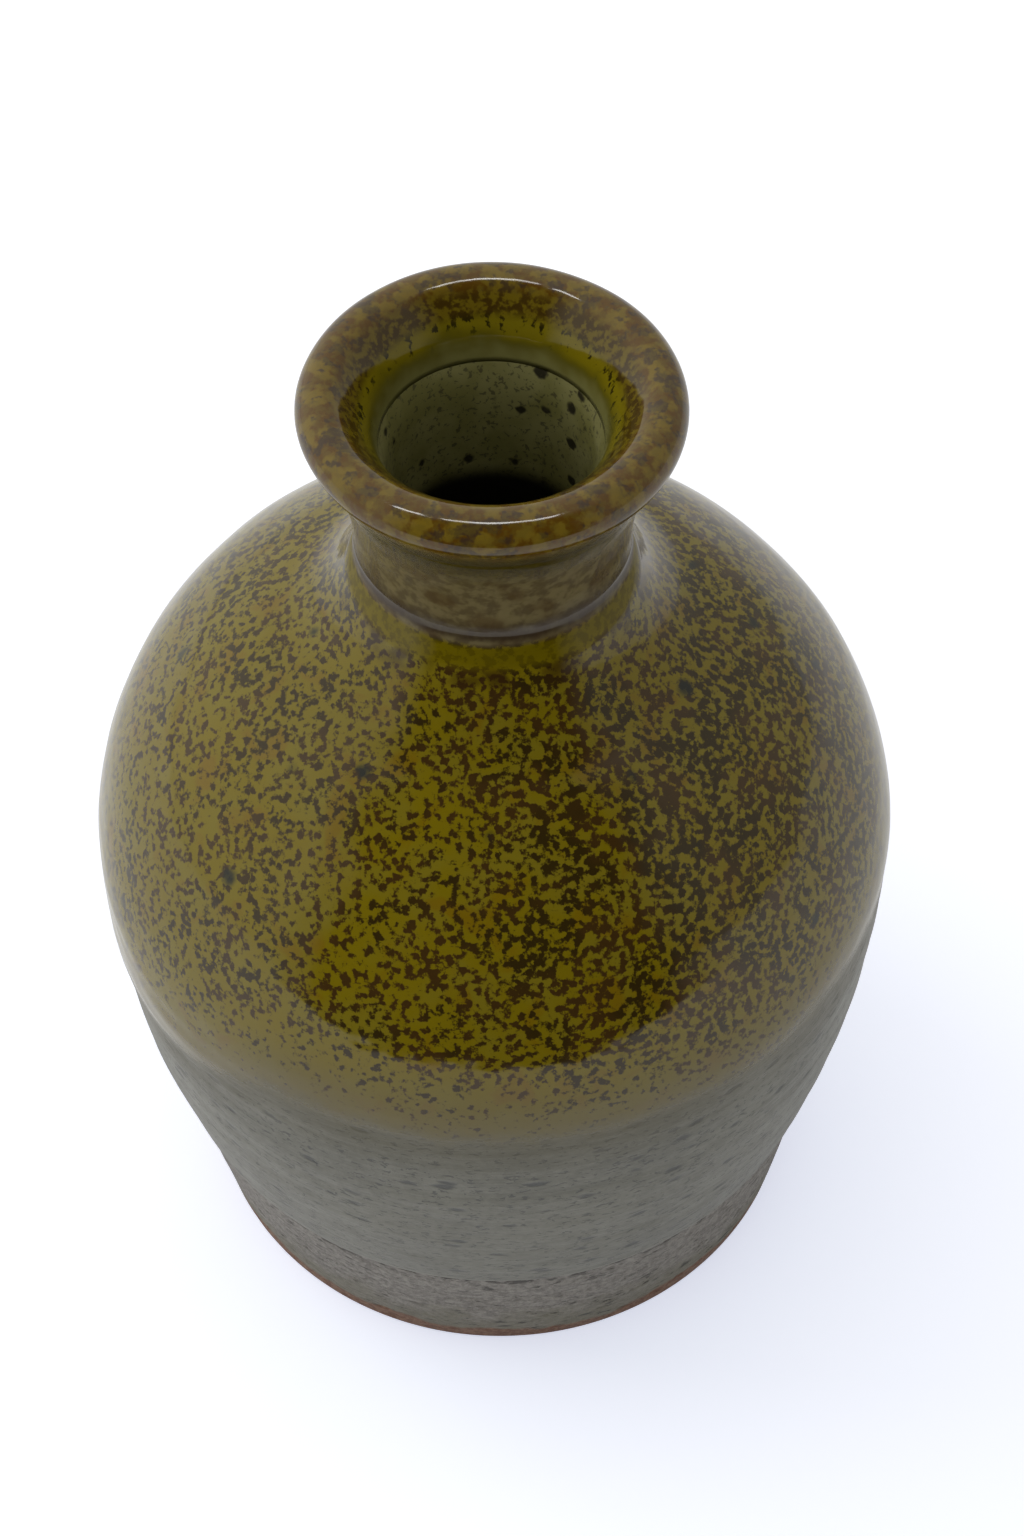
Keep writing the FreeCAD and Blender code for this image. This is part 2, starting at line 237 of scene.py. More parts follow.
# %% An outline from points
def outline(name, rows):
    """Loose points from rows of (path point, set off, coat)."""
    mesh = bpy.data.meshes.new(name)
    places, ways = [], []
    for (r, z, out_r, out_z, along), offset, coat in rows:
        places.append((r + out_r * offset, 0.0, z + out_z * offset))
        ways.append((r, 0.0, z, out_r, 0.0, out_z, along, coat))
    mesh.from_pydata(places, [], [])
    for attribute, kind, first, last in (("clay", "FLOAT_VECTOR", 0, 3), ("out", "FLOAT_VECTOR", 3, 6)):
        layer = mesh.attributes.new(attribute, kind, "POINT")
        layer.data.foreach_set("vector", [x for way in ways for x in way[first:last]])
    for attribute, column in (("along", 6), ("coat", 7)):
        layer = mesh.attributes.new(attribute, "FLOAT", "POINT")
        layer.data.foreach_set("value", [way[column] for way in ways])
    made = bpy.data.objects.new(name, mesh)
    bpy.context.scene.collection.objects.link(made)
    print(name, len(rows), "points")
    return made


def rounded(distance, over, thick):
    """The thickness of a coat whose edge is rounded over a short distance."""
    share = min(1.0, max(0.0, distance / over))
    return thick * math.sqrt(1 - (1 - share) ** 2)


# %% The four outlines
EDGE_ROUND = 1.2 * MM
THROAT_FADE = 3.0 * MM
OVER_BOTTOM = 47.0 * MM
THROAT_END = 10.1 * MM
SUNK = 0.12 * MM


def thinned(path):
    """Every third point and both ends, for faces that a coat or the clay hides."""
    return path[:-1:3] + [path[-1]]


glazed = outside[: ridge_index + 1]
bare = outside[ridge_index + 1 :]
clay_path = (thinned(glazed) + bare)[::-1] + thinned(inside)[1:]
clay_outline = outline("clay_outline", [(p, 0.0, 0.0) for p in clay_path])

liner_outline = outline(
    "liner_outline",
    [(p, 0.0, 0.0) for p in inside[::-1]] + [(p, FIRST_COAT, 0.0) for p in inside],
)

base_outline = outline(
    "base_outline",
    [(p, 0.0, 0.0) for p in thinned(glazed)]
    + [(p, rounded(p[4] - ridge_along, EDGE_ROUND, FIRST_COAT), 0.0) for p in glazed[-2::-1]]
    + [(glazed[0], 0.0, 0.0)],
)

lapped = [p for p in inside if p[4] <= THROAT_END][::-1] + [p for p in outside[1:] if p[1] > OVER_BOTTOM]
throat_edge = lapped[0][4]
over_outline = outline(
    "over_outline",
    [(p, FIRST_COAT - SUNK if p[4] < 0 else FIRST_COAT, 0.0) for p in thinned(lapped)]
    + [(p, FIRST_COAT, OVER_COAT * min(1.0, (throat_edge - p[4]) / THROAT_FADE)) for p in lapped[-2::-1]],
)

# %% [markdown]
# ## Trees of nodes
#
# The lathe is a Geometry Nodes tree and the finishes are shader trees. Both are easier to
# read as formulas than as lists of links, so a small class wraps a node's output: arithmetic
# on it adds Math nodes, and everything else goes through one method, `add`.

# %% Wires and trees
class Wire:
    """One output of a node. Arithmetic on it adds a Math node to the same tree."""

    def __init__(self, tree, socket):
        self.tree = tree
        self.socket = socket

    def math(self, operation, *values):
        return self.tree.add("ShaderNodeMath", {"operation": operation}, dict(enumerate(values)))

    def __add__(self, other):
        return self.math("ADD", self, other)

    def __sub__(self, other):
        return self.math("SUBTRACT", self, other)

    def __rsub__(self, other):
        return self.math("SUBTRACT", other, self)

    def __mul__(self, other):
        return self.math("MULTIPLY", self, other)

    def __truediv__(self, other):
        return self.math("DIVIDE", self, other)

    def __neg__(self):
        return self.math("MULTIPLY", self, -1.0)

    def at_least(self, other):
        return self.math("MAXIMUM", self, other)

    def other(self, name):
        """Another output of the same node."""
        return Wire(self.tree, self.socket.node.outputs[name])

    __radd__ = __add__
    __rmul__ = __mul__


class Tree:
    """A node tree that is written as formulas."""

    def __init__(self, nodes):
        self.nodes = nodes

    def add(self, kind, settings=None, inputs=None, output=0):
        """A node of any type: its settings first, then values or wires for its inputs."""
        node = self.nodes.nodes.new(kind)
        for name, value in (settings or {}).items():
            setattr(node, name, value)
        for key, value in (inputs or {}).items():
            socket = pick(node.inputs, key)
            if isinstance(value, Wire):
                self.nodes.links.new(value.socket, socket)
            else:
                socket.default_value = value
        return Wire(self, pick(node.outputs, output))

    def ramp(self, value, low, high, to_low=0.0, to_high=1.0):
        """A smooth step from to_low to to_high while value goes from low to high."""
        settings = {"interpolation_type": "SMOOTHSTEP"}
        ends = {"From Min": low, "From Max": high, "To Min": to_low, "To Max": to_high}
        return self.add("ShaderNodeMapRange", settings, {"Value": value, **ends}, "Result")

    def noise(self, place, size, detail=2.0, rough=0.5, bend=0.0, output="Fac"):
        """Soft cloudy noise whose lumps are about `size` across."""
        values = {"Vector": place, "Scale": 1 / size, "Detail": detail}
        values.update({"Roughness": rough, "Distortion": bend})
        return self.add("ShaderNodeTexNoise", None, values, output)

    def stretched(self, place, scale, shift=(0.0, 0.0, 0.0)):
        """The place with each axis scaled, so that a pattern on it is drawn out."""
        settings = {"operation": "MULTIPLY_ADD"}
        return self.add("ShaderNodeVectorMath", settings, {0: place, 1: scale, 2: shift}, "Vector")


def pick(sockets, key):
    """A socket by its number, its identifier or its name."""
    if isinstance(key, int):
        return sockets[key]
    return next((s for s in sockets if s.identifier == key), None) or sockets[key]


# %% [markdown]
# ## The lathe
#
# A wheel turns a profile into a pot, and so does this tree. It lays out a grid with one
# column for each step round the wheel and one row for each point of the outline, and moves
# every grid point to its place on the turn. On the way it adds what makes the pot hand-made:
# a belly that is slightly out of round, the throwing rings, the torn surface of the turned
# foot band, and the second glaze with its sagging edge. A modelled cylinder would need each
# of these cut in by hand, and here they are inputs that can be changed.

# %% The lathe's inputs
LATHE_INPUTS = [
    ("Outline", "NodeSocketObject", None),
    ("Steps", "NodeSocketInt", 320),
    ("Out Of Round", "NodeSocketFloat", 0.35 * MM),
    ("Ring Depth", "NodeSocketFloat", 0.22 * MM),
    ("Tear Depth", "NodeSocketFloat", 0.28 * MM),
    ("Foot Shift", "NodeSocketFloat", 0.6 * MM),
    ("Dip Height", "NodeSocketFloat", DIP_HEIGHT),
    ("Sag", "NodeSocketFloat", 0.6),
    ("Sag Start", "NodeSocketFloat", 26.0 * MM),
    ("Seed", "NodeSocketFloat", 3.0),
    ("Finish", "NodeSocketMaterial", None),
]

lathe = bpy.data.node_groups.new("lathe", "GeometryNodeTree")
lathe.interface.new_socket("Geometry", in_out="OUTPUT", socket_type="NodeSocketGeometry")
socket_of = {}
for name, kind, default in LATHE_INPUTS:
    made = lathe.interface.new_socket(name, in_out="INPUT", socket_type=kind)
    if default is not None:
        made.default_value = default
    socket_of[name] = made.identifier
lathe_tree = Tree(lathe)
group_in = lathe.nodes.new("NodeGroupInput")
given = {name: Wire(lathe_tree, pick(group_in.outputs, key)) for name, key in socket_of.items()}
print("lathe inputs", list(given))

# %% The grid, and where each of its points lies on the outline
section = lathe_tree.add("GeometryNodeObjectInfo", None, {"Object": given["Outline"]}, "Geometry")
rows = lathe_tree.add("GeometryNodeAttributeDomainSize", None, {"Geometry": section}, "Point Count")
columns = given["Steps"] + 1.0
grid_sizes = {"Vertices X": columns, "Vertices Y": rows}
grid = lathe_tree.add("GeometryNodeMeshGrid", None, grid_sizes, "Mesh")
index = lathe_tree.add("GeometryNodeInputIndex")
columns_passed = index / rows
column = columns_passed.math("FLOOR", columns_passed)
row = index - column * rows
turn = column / given["Steps"] * (2 * math.pi)


def from_outline(name, kind="FLOAT_VECTOR"):
    """An attribute of the outline at this grid point's row."""
    if name == "position":
        value = lathe_tree.add("GeometryNodeInputPosition")
    else:
        value = lathe_tree.add("GeometryNodeInputNamedAttribute", {"data_type": kind}, {"Name": name}, 0)
    inputs = {"Geometry": section, "Value": value, "Index": row}
    return lathe_tree.add("GeometryNodeSampleIndex", {"data_type": kind}, inputs, 0)


def turned(vector):
    """A vector of the section, turned to this column's place on the wheel."""
    across = lathe_tree.add("ShaderNodeSeparateXYZ", None, {0: vector}, "X")
    up = across.other("Z")
    sine = turn.math("SINE", turn)
    cosine = turn.math("COSINE", turn)
    return lathe_tree.add("ShaderNodeCombineXYZ", None, {0: across * sine, 1: -(across * cosine), 2: up})


place = turned(from_outline("position"))
clay_place = turned(from_outline("clay"))
way_out = turned(from_outline("out"))
along = from_outline("along", "FLOAT")
coat = from_outline("coat", "FLOAT")
print("the grid and its places take", len(lathe.nodes), "nodes")

# %% What the hand and the wheel leave
clay_x = lathe_tree.add("ShaderNodeSeparateXYZ", None, {0: clay_place}, "X")
clay_z = clay_x.other("Z")
seeded = lathe_tree.add("ShaderNodeVectorMath", {"operation": "ADD"}, {0: clay_place, 1: given["Seed"]}, 0)

slow = lathe_tree.noise(seeded, 45 * MM, detail=1.0) - 0.5
ring_place = lathe_tree.stretched(seeded, (0.05, 0.05, 1.0))
rings = lathe_tree.noise(ring_place, 3.4 * MM, detail=2.0) - 0.5
dent_place = lathe_tree.stretched(seeded, (0.5, 0.5, 1.0))
dents = lathe_tree.noise(dent_place, 7.0 * MM, detail=1.0) - 0.5
ring_share = lathe_tree.ramp(clay_z, DIP_HEIGHT - 8 * MM, DIP_HEIGHT + 8 * MM, 1.0, 0.3)
tear_place = lathe_tree.stretched(seeded, (0.4, 0.4, 1.0))
tear = lathe_tree.noise(tear_place, 1.1 * MM, detail=3.0, rough=0.6)
torn = lathe_tree.ramp(tear, 0.56, 0.70)
band = lathe_tree.ramp(clay_z, RIDGE_HEIGHT - 1.5 * MM, RIDGE_HEIGHT - 0.2 * MM, 1.0, 0.0)
free = lathe_tree.ramp(clay_z, 0.3 * MM, 2.5 * MM)
lift = slow * given["Out Of Round"] * 2.0 + (rings + dents) * given["Ring Depth"] * 2.0 * ring_share
lift = (lift - torn * band * given["Tear Depth"]) * free
print("with the unevenness", len(lathe.nodes), "nodes")

# %% The second glaze, whose edge runs lower on one side
sag = (-clay_x - given["Sag Start"]).at_least(0.0) * given["Sag"]
waver = (lathe_tree.noise(seeded, 16 * MM, detail=1.0) - 0.5) * (4.0 * MM)
above_dip = clay_z - given["Dip Height"] + sag + waver
full = lathe_tree.ramp(above_dip, -4.0 * MM, 6.0 * MM, -0.1, 1.0)
runs = (lathe_tree.noise(seeded, 12 * MM, detail=0.0) - 0.5) * 0.5 + 1.0
lift = lift + coat * full * runs
print("with the second glaze", len(lathe.nodes), "nodes")

# %% Put every grid point in its place
foot_share = ((BELLY_HEIGHT - clay_z) / BELLY_HEIGHT).at_least(0.0)
drift = lathe_tree.add("ShaderNodeCombineXYZ", None, {0: foot_share * foot_share * given["Foot Shift"]})
vector_add = {"operation": "ADD"}
lifted = lathe_tree.add("ShaderNodeVectorMath", {"operation": "SCALE"}, {0: way_out, "Scale": lift}, 0)
final_place = lathe_tree.add("ShaderNodeVectorMath", vector_add, {0: place, 1: lifted}, 0)
final_place = lathe_tree.add("ShaderNodeVectorMath", vector_add, {0: final_place, 1: drift}, 0)

shape = grid
for name, value in (("along", along), ("above_dip", above_dip)):
    inputs = {"Geometry": shape, "Name": name, "Value": value}
    shape = lathe_tree.add("GeometryNodeStoreNamedAttribute", {"data_type": "FLOAT"}, inputs)
shape = lathe_tree.add("GeometryNodeSetPosition", None, {"Geometry": shape, "Position": final_place})
shape = lathe_tree.add("GeometryNodeMergeByDistance", None, {"Geometry": shape, "Distance": 0.001 * MM})
shape = lathe_tree.add("GeometryNodeSetShadeSmooth", None, {"Geometry": shape})
shape = lathe_tree.add("GeometryNodeRealizeInstances", None, {"Geometry": shape})
shape = lathe_tree.add("GeometryNodeSetMaterial", None, {"Geometry": shape, "Material": given["Finish"]})
group_out = lathe.nodes.new("NodeGroupOutput")
lathe.links.new(shape.socket, group_out.inputs[0])
print("lathe has", len(lathe.nodes), "nodes")

# %% [markdown]
# ## The finishes
#
# Each finish is one Principled shader with its colour, roughness and bump worked out from
# where the point is on the pot, in millimetres. Small helpers keep the formulas short: a new
# finish, a mix of two colours, and specks, which are noise with a threshold.

# %% Helpers for the finishes
class Finish(Tree):
    """A material with one Principled shader, and the places that its patterns are drawn on."""

    def __init__(self, name):
        self.material = bpy.data.materials.new(name)
        self.material.use_nodes = True
        super().__init__(self.material.node_tree)
        self.shader = self.nodes.nodes["Principled BSDF"]
        metres = self.add("ShaderNodeTexCoord", None, None, "Object")
        self.place = self.stretched(metres, (1 / MM, 1 / MM, 1 / MM))
        self.x = self.add("ShaderNodeSeparateXYZ", None, {0: self.place}, "X")
        self.y = self.x.other("Y")
        self.z = self.x.other("Z")

    def attribute(self, name):
        """An attribute of the mesh, in millimetres."""
        return self.add("ShaderNodeAttribute", {"attribute_name": name}, None, "Fac") * (1 / MM)

    def mix(self, low, high, share):
        """One colour where share is 0, the other where it is 1."""
        settings = {"data_type": "RGBA"}
        low, high = (c if isinstance(c, Wire) else (*c, 1.0) for c in (low, high))
        inputs = {"Factor_Float": share, "A_Color": low, "B_Color": high}
        return self.add("ShaderNodeMix", settings, inputs, "Result_Color")

    def specks(self, place, size, cover, soft=0.035, bend=0.6, detail=2.0):
        """Soft-edged blots: cover shifts the threshold, so about half is covered at 0."""
        cloud = self.noise(place, size, detail=detail, rough=0.55, bend=bend)
        return self.ramp(cloud + cover, 0.5 - soft, 0.5 + soft)

    def cells(self, place, spacing):
        """The distance to the nearest of many loose points, in spacings."""
        inputs = {"Vector": place, "Scale": 1 / spacing, "Randomness": 1.0}
        return self.add("ShaderNodeTexVoronoi", None, inputs, "Distance")

    def spots(self, place, spacing, radius, kept, soft=0.25):
        """Single round-ish spots: one for each cell that is kept."""
        wobble = self.noise(place, radius * 1.2, detail=1.0, output="Color")
        nudge = self.stretched(wobble, (radius, radius, radius))
        moved = self.add("ShaderNodeVectorMath", {"operation": "ADD"}, {0: place, 1: nudge}, 0)
        distance = self.cells(moved, spacing)
        chance = self.add("ShaderNodeSeparateXYZ", None, {0: distance.other("Color")}, "X")
        size = radius * (chance / kept * -0.6 + 1.1)
        drawn = self.ramp(distance * spacing, size + soft, size - soft)
        return drawn * chance.math("LESS_THAN", chance, kept)

    def clumps(self, place, spacing, cover, soft):
        """Round grains that touch and clump, with about half covered at 0."""
        cloud = self.noise(place, spacing * 0.8, detail=3.0, rough=0.6)
        roundness = (0.56 - self.cells(place, spacing)) * 0.35
        return self.ramp(roundness + (cloud - 0.5) + cover, -soft, soft)

    def between(self, value, fade_in, fade_out):
        """1 between two soft steps, each given by where it starts and ends."""
        return self.ramp(value, *fade_in) * self.ramp(value, *fade_out[::-1])

    def bump(self, height, depth, normal=None):
        """A bump on which height 1 stands depth millimetres above height 0."""
        inputs = {"Height": height, "Distance": depth * MM, "Strength": 1.0}
        if normal:
            inputs["Normal"] = normal
        return self.add("ShaderNodeBump", None, inputs, "Normal")

    def wear(self, colour, roughness, normal, ior=1.5):
        """Connects the finished colour, roughness and bump to the shader."""
        for name, value in (("Base Color", colour), ("Roughness", roughness), ("Normal", normal)):
            if isinstance(value, Wire):
                self.nodes.links.new(value.socket, self.shader.inputs[name])
            else:
                self.shader.inputs[name].default_value = value
        self.shader.inputs["IOR"].default_value = ior
        print("finish", self.material.name, "has", len(self.nodes.nodes), "nodes")
        return self.material


# %% [markdown]
# ### The grey-green glaze
#
# A satin celadon: a calm grey-green that breaks a little paler on the throwing rings, with
# blue-grey iron specks pulled out sideways by the turning. Both the base coat and the lower
# fringe of the second coat show it, so it is one function that both finishes call.

# %% Grey-green glaze
CELADON = (0.118, 0.119, 0.103)
CELADON_PALE = (0.164, 0.165, 0.146)
CELADON_SPECK = (0.030, 0.033, 0.036)
OLIVE_HAZE = (0.078, 0.068, 0.030)
# Painted highlight: the pale line where the rounded glaze edge above the ridge catches the light.
RIDGE_PAINTED_HIGHLIGHT = (0.27, 0.265, 0.25)
RIDGE_MM = RIDGE_HEIGHT / MM


def grey_green(finish):
    """Colour, roughness and bump height of the satin grey-green glaze."""
    rings = finish.stretched(finish.place, (0.06, 0.06, 1.0))
    lines = finish.noise(rings, 0.9, detail=3.0, rough=0.65)
    mottle = finish.noise(finish.place, 1.3, detail=3.0, rough=0.6)
    clouds = finish.noise(finish.place, 14.0, detail=2.0)
    paleness = finish.ramp(lines * 0.3 + clouds * 0.35 + mottle * 0.35, 0.40, 0.60)
    colour = finish.mix(CELADON, CELADON_PALE, paleness)
    drawn_out = finish.stretched(finish.place, (0.5, 0.5, 1.0))
    small = finish.specks(drawn_out, 0.55, -0.118, soft=0.05)
    large = finish.spots(drawn_out, 2.8, 0.66, 0.60, soft=0.25)
    colour = finish.mix(colour, CELADON_SPECK, small * 0.7)
    colour = finish.mix(colour, CELADON_SPECK, large * 0.85)
    roughness = finish.noise(finish.place, 3.0) * 0.14 + 0.30
    height = lines * 0.6 + mottle * 0.5 - small * 0.3 - large * 0.5
    return colour, roughness, height


base_finish = Finish("base_glaze_finish")
colour, roughness, height = grey_green(base_finish)
base_dip = base_finish.attribute("above_dip")
haze = base_finish.ramp(base_dip, -10.0, 0.0) * 0.6
colour = base_finish.mix(colour, OLIVE_HAZE, haze)
# Painted highlight: the grey-green turns pale just above the ridge, along the rounded glaze edge.
edge = base_finish.ramp(base_finish.z, RIDGE_MM + 1.5, RIDGE_MM + 0.3)
colour = base_finish.mix(colour, RIDGE_PAINTED_HIGHLIGHT, edge * 0.75)
base_material = base_finish.wear(colour, roughness, base_finish.bump(height, 0.10))

# %% [markdown]
# ### The olive glaze
#
# The second dip melts into the first. Iron in it gathers in brown-black specks that touch
# and clump, with an olive-mustard ground between them, amber in places and with a few large
# blue-black spots. It is thin and pale just above its lower edge, runs clear in a pool where
# the neck meets the shoulder, and breaks amber-brown on the lip, where it is thinnest.

# %% Olive glaze: the belly
OLIVE = (0.174, 0.133, 0.003)
OLIVE_PALE = (0.174, 0.143, 0.012)
AMBER = (0.168, 0.094, 0.002)
IRON = (0.032, 0.020, 0.004)
IRON_WARM = (0.050, 0.026, 0.006)
BLUE_BLACK = (0.009, 0.013, 0.012)
THIN_OLIVE = (0.112, 0.090, 0.030)

over_finish = Finish("over_glaze_finish")
o = over_finish
over_along = o.attribute("along")
over_dip = o.attribute("above_dip")

clouds = o.noise(o.place, 15.0, detail=2.0)
patches = o.noise(o.place, 2.6, detail=2.0, rough=0.6)
lean = o.ramp(o.x, -42.0, 34.0, -0.04, 0.025)
near_dip = o.ramp(over_dip, 1.0, 15.0, -0.14, 0.0)
cover = lean + near_dip + (clouds - 0.5) * 0.15 + (patches - 0.5) * 0.13
iron = o.clumps(o.place, 1.10, cover - 0.022, 0.065)

ground = o.mix(OLIVE, OLIVE_PALE, o.ramp(o.noise(o.place, 6.0), 0.42, 0.66) * 0.6)
amber_share = o.ramp(o.noise(o.place, 5.0, detail=3.0, bend=0.5), 0.54, 0.68)
ground = o.mix(ground, AMBER, amber_share * 0.6)
ground = o.mix(ground, THIN_OLIVE, o.ramp(over_dip, 13.0, 0.0) * 0.8)
iron_colour = o.mix(IRON, IRON_WARM, o.ramp(o.noise(o.place, 7.0), 0.40, 0.60))
belly = o.mix(ground, iron_colour, iron)
dark_spots = o.spots(o.place, 7.5, 0.95, 0.36, soft=0.5)
belly = o.mix(belly, BLUE_BLACK, dark_spots * 0.9)
print("olive glaze, belly:", len(o.nodes.nodes), "nodes")

# %% [markdown]
# Above the belly the glaze changes with every bend of the pot, so the colours follow `along`,
# the distance from the top of the lip. Each zone below is written as where it fades in, or
# as where it fades in and out. Going up from the shoulder they are a broken brown ring, the
# clear yellow pool, a dark line at the foot of the neck, the mottled neck, which is olive and
# darkened with painted shade under the lip, the amber lip, and inside it the throat, where
# specks are drawn into streaks and the coat melts away into an olive that is partly painted shade.

# %% Olive glaze: where the zones are, in millimetres along the section
BROWN_RING = ((-33.5, -30.0), (-29.6, -28.0))
POOL = ((-30.0, -28.2), (-26.4, -25.6))
NECK_FOOT = ((-25.4, -24.4), (-23.6, -21.0))
NECK = (-26.2, -25.2)
# Painted shade: from here up, the neck darkens as if in the lip's shadow.
NECK_INTO_LIP_SHADE = (-15.0, -9.0)
LIP_ZONE = (-6.4, -4.6)
THROAT = (0.9, 2.6)
LOWER_THROAT = (3.6, 5.2)
STREAKS_THIN_OUT = (3.0, 7.0)
# Where the coat thins, the throat turns a darker olive: partly the thin coat, partly painted shade.
COAT_THINS_AND_SHADES = (5.4, 7.6)
LINER_SHOWS = (6.6, 9.4)
print("neck from %.1f mm, lip from %.1f mm, throat from %.1f mm" % (NECK[0], LIP_ZONE[0], THROAT[0]))

# %% Olive glaze: the pool and the neck
POOL_YELLOW = (0.150, 0.116, 0.001)
POOL_SPECK = (0.060, 0.042, 0.001)
RING_BROWN = (0.036, 0.017, 0.004)
NECK_TAN = (0.165, 0.136, 0.070)
NECK_SPECK = (0.080, 0.060, 0.034)
NECK_RUST = (0.070, 0.042, 0.020)
# The upper neck is olive and is also darkened with painted shade cast by the lip above it.
OLIVE_IN_LIP_SHADE = (0.044, 0.034, 0.004)
SPECK_IN_LIP_SHADE = (0.022, 0.015, 0.004)
NECK_FOOT_BROWN = (0.030, 0.018, 0.012)

brown_ring = o.between(over_along, *BROWN_RING) * o.ramp(o.noise(o.place, 5.0), 0.44, 0.58)
belly = o.mix(belly, RING_BROWN, brown_ring * 0.75)
pool_colour = o.mix(POOL_YELLOW, POOL_SPECK, iron * 0.45)
upper_colour = o.mix(belly, pool_colour, o.between(over_along, *POOL))

neck_fine = o.specks(o.place, 1.5, 0.0, soft=0.14, bend=0.0)
rust = o.ramp(o.noise(o.place, 5.0), 0.48, 0.62)
neck_low = o.mix(NECK_TAN, NECK_SPECK, neck_fine * 0.8)
neck_low = o.mix(neck_low, NECK_RUST, rust * 0.6)
# Painted shade: the neck turns from tan to a dark olive towards the lip.
neck_in_lip_shade = o.mix(OLIVE_IN_LIP_SHADE, SPECK_IN_LIP_SHADE, neck_fine * 0.5)
neck_colour = o.mix(neck_low, neck_in_lip_shade, o.ramp(over_along, *NECK_INTO_LIP_SHADE))
neck_colour = o.mix(neck_colour, NECK_FOOT_BROWN, o.between(over_along, *NECK_FOOT) * 0.7)
upper_colour = o.mix(upper_colour, neck_colour, o.ramp(over_along, *NECK))
print("with the pool and the neck:", len(o.nodes.nodes), "nodes")

# %% Olive glaze: the lip
LIP_AMBER = (0.095, 0.046, 0.004)
LIP_GOLD = (0.158, 0.106, 0.011)
LIP_BLOT = (0.042, 0.026, 0.017)
LIP_SPECK = (0.120, 0.086, 0.012)
LIP_BLACK = (0.016, 0.012, 0.012)

moved_place = o.stretched(o.place, (1.0, 1.0, 1.0), (9.0, 4.0, 2.0))
lip_gold = o.ramp(o.noise(moved_place, 2.0, detail=3.0), 0.45, 0.58)
lip_blot = o.ramp(o.noise(o.place, 2.2, detail=3.0, rough=0.6), 0.50, 0.60)
lip_fine = o.specks(o.place, 0.9, -0.02, soft=0.09, bend=0.0)
lip_black = o.spots(o.place, 6.0, 0.6, 0.35, soft=0.4)
lip_colour = o.mix(LIP_AMBER, LIP_GOLD, lip_gold)
lip_colour = o.mix(lip_colour, LIP_BLOT, lip_blot * 0.85)
lip_colour = o.mix(lip_colour, LIP_SPECK, lip_fine * 0.45)
lip_colour = o.mix(lip_colour, LIP_BLACK, lip_black * 0.8)
upper_colour = o.mix(upper_colour, lip_colour, o.ramp(over_along, *LIP_ZONE))
print("with the lip:", len(o.nodes.nodes), "nodes")

# %% Olive glaze: the throat
THROAT_BROWN = (0.050, 0.028, 0.003)
THROAT_GOLD = (0.170, 0.125, 0.006)
THROAT_YELLOW = (0.165, 0.132, 0.004)
STREAK_BLACK = (0.008, 0.006, 0.002)
# Partly the olive of the thinning coat, partly painted shade of the throat turning away from the light.
THROAT_OLIVE_AND_SHADE = (0.090, 0.076, 0.004)
THROAT_END_GREEN = (0.190, 0.182, 0.062)

streak_place = o.add("ShaderNodeCombineXYZ", None, {0: o.x, 1: o.y, 2: over_along * 0.5})
streak_cover = o.ramp(over_along, *STREAKS_THIN_OUT, 0.0, -0.22)
streaks = o.clumps(streak_place, 1.0, streak_cover, 0.05)
melt = over_along + (o.noise(o.place, 4.0) - 0.5) * 4.0
throat_top = o.mix(THROAT_BROWN, THROAT_GOLD, lip_fine * 0.65)
throat_low = o.mix(THROAT_YELLOW, STREAK_BLACK, streaks * 0.9)
# Painted shade in part: the throat darkens to olive where the coat thins.
throat_low = o.mix(throat_low, THROAT_OLIVE_AND_SHADE, o.ramp(melt, *COAT_THINS_AND_SHADES))
throat_low = o.mix(throat_low, THROAT_END_GREEN, o.ramp(melt, *LINER_SHOWS))
throat_colour = o.mix(throat_top, throat_low, o.ramp(over_along, *LOWER_THROAT))
upper_colour = o.mix(upper_colour, throat_colour, o.ramp(over_along, *THROAT))
print("with the throat:", len(o.nodes.nodes), "nodes")

# %% [markdown]
# At its lower edge the second glaze is too thin to be a colour of its own. The fringe frays
# into the grey-green below, and its gloss fades with it. The bump also tilts the surface of
# the pool, where runny glaze has filled the bend.

# %% Olive glaze: its lower edge, its gloss and its surface
fray = (o.noise(o.place, 3.0, detail=3.0, rough=0.6) - 0.5) * 4.0
edge = o.ramp(over_dip + fray, -1.8, 3.2)
low_colour, low_roughness, low_height = grey_green(o)
edge_haze = o.ramp(over_dip + fray, -10.0, 0.0) * 0.6
low_colour = o.mix(low_colour, OLIVE_HAZE, edge_haze)
over_colour = o.mix(low_colour, upper_colour, edge)
gloss = o.noise(o.place, 4.0) * 0.05 + 0.06
over_roughness = low_roughness * (1.0 - edge) + gloss * edge
over_height = low_height * (1.0 - edge) * 0.1
skin = o.noise(o.place, 3.2, detail=1.0) * edge
pooled = o.ramp(over_along, -30.0, -23.4, 2.4, 0.0)
filled = o.bump(over_height + pooled, 1.0)
over_normal = o.bump(skin, 0.05, filled)
over_material = o.wear(over_colour, over_roughness, over_normal)

# %% [markdown]
# ### The liner and the bare clay
#
# Inside, the same grey-green glaze is greener and less glossy, with round iron spots. The
# turned foot band wears only a dry wash of ash over the clay: mauve-grey, with dark pits
# that the turning tool tore open sideways, greener near the foot. The foot ring itself is
# wiped clean and shows the toasted red-brown clay.

# %% Liner
liner_finish = Finish("liner_glaze_finish")
n = liner_finish
LINER_GREEN = (0.190, 0.182, 0.062)
LINER_PALE = (0.240, 0.230, 0.094)
LINER_SPOT = (0.014, 0.012, 0.008)
LINER_SPECK = (0.045, 0.040, 0.025)
# Painted shade of the unlit inside, deep down the neck.
LINER_PAINTED_SHADE = (0.006, 0.005, 0.003)

